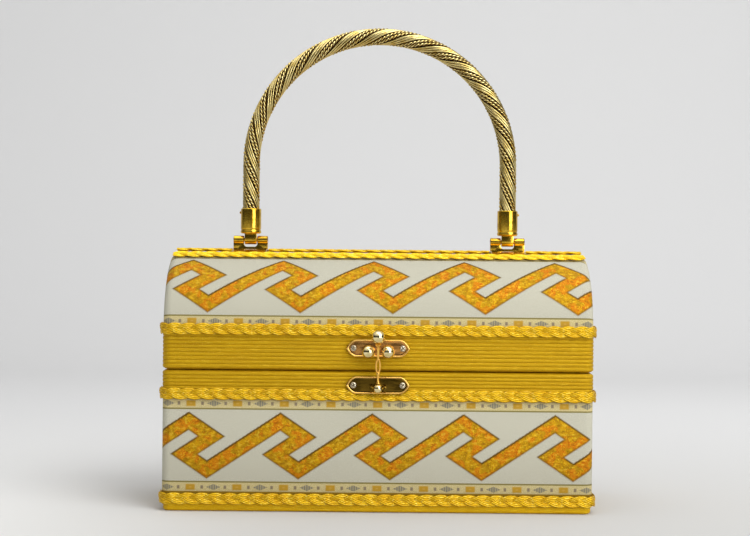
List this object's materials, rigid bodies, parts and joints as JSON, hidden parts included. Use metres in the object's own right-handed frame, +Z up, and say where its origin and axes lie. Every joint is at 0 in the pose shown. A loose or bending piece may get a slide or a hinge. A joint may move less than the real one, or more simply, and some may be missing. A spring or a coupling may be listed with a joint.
{
  "type": "box bag",
  "caption": "Rigid box bag with a barrel-top hinged lid, ribbed gold cloth, woven wave ribbon, plaited gold braids, a ball-and-lever clasp and an arched twisted-wire handle.",
  "frame": {"origin": "middle of the base, on the surface that the bag stands on", "axes": "+X to the right seen from the front, the front with the clasp towards -Y, +Z up"},
  "size_m": [0.232, 0.101, 0.2623],
  "materials": {
    "ribbed_cloth": "satin",
    "gold_braid": "satin",
    "wave_ribbon": "satin",
    "gold_metal": "polished",
    "gold_wire": "polished",
    "box_wood": "matte",
    "lining_cloth": "matte"
  },
  "bodies": {
    "body": {"body_shell": "box_wood", "body_lining": "lining_cloth", "base_cloth": "ribbed_cloth", "body_cloth": "ribbed_cloth", "body_ribbon": "wave_ribbon", "body_lower_braid": "gold_braid", "body_upper_braid": "gold_braid", "clasp_lower_plate": "gold_metal", "lever_pin": "gold_metal", "hinge_body_leaf_left": "gold_metal", "hinge_body_leaf_right": "gold_metal", "hinge_pin_left": "gold_metal", "hinge_pin_right": "gold_metal", "clasp_screw_lower_left": "gold_metal", "clasp_screw_lower_right": "gold_metal", "hinge_screw_body_left_1": "gold_metal", "hinge_screw_body_left_2": "gold_metal", "hinge_screw_body_right_1": "gold_metal", "hinge_screw_body_right_2": "gold_metal"},
    "lid": {"lid_shell": "box_wood", "lid_lining": "lining_cloth", "lid_cloth": "ribbed_cloth", "lid_ribbon_front": "wave_ribbon", "lid_ribbon_back": "wave_ribbon", "lid_braid": "gold_braid", "ridge_braid_front": "gold_braid", "ridge_braid_back": "gold_braid", "top_braid_left": "gold_braid", "top_braid_middle": "gold_braid", "top_braid_right": "gold_braid", "clasp_upper_plate": "gold_metal", "clasp_ball_left": "gold_metal", "clasp_ball_right": "gold_metal", "mount_plate_left": "gold_metal", "mount_plate_right": "gold_metal", "mount_pin_left": "gold_metal", "mount_pin_right": "gold_metal", "clasp_screw_upper_left": "gold_metal", "clasp_screw_upper_right": "gold_metal", "hinge_lid_leaf_left": "gold_metal", "hinge_lid_leaf_right": "gold_metal", "hinge_screw_lid_left_1": "gold_metal", "hinge_screw_lid_left_2": "gold_metal", "hinge_screw_lid_right_1": "gold_metal", "hinge_screw_lid_right_2": "gold_metal"},
    "handle": {"ferrule_left": "gold_metal", "ferrule_right": "gold_metal", "ferrule_rivet_left": "gold_metal", "ferrule_rivet_right": "gold_metal", "rope_core": "gold_wire", "rope_smooth_1": "gold_wire", "rope_smooth_2": "gold_wire", "rope_smooth_3": "gold_wire", "rope_twisted_1": "gold_wire", "rope_twisted_2": "gold_wire", "rope_twisted_3": "gold_wire"},
    "lever": {"lever_foot_ball": "gold_metal", "lever_stem": "gold_metal", "lever_top_ball": "gold_metal"}
  },
  "joints": [
    {"name": "lid", "type": "hinge", "parent": "body", "child": "lid", "pos_m": [0, 0.0439, 0.07465], "axis": [-1, 0, 0], "range_deg": [0, 105]},
    {"name": "handle", "type": "hinge", "parent": "lid", "child": "handle", "pos_m": [0, 0, 0.1441], "axis": [1, 0, 0], "range_deg": [-75, 75]},
    {"name": "lever", "type": "hinge", "parent": "body", "child": "lever", "pos_m": [0, -0.0463, 0.0659], "axis": [1, 0, 0], "range_deg": [0, 150]}
  ]
}
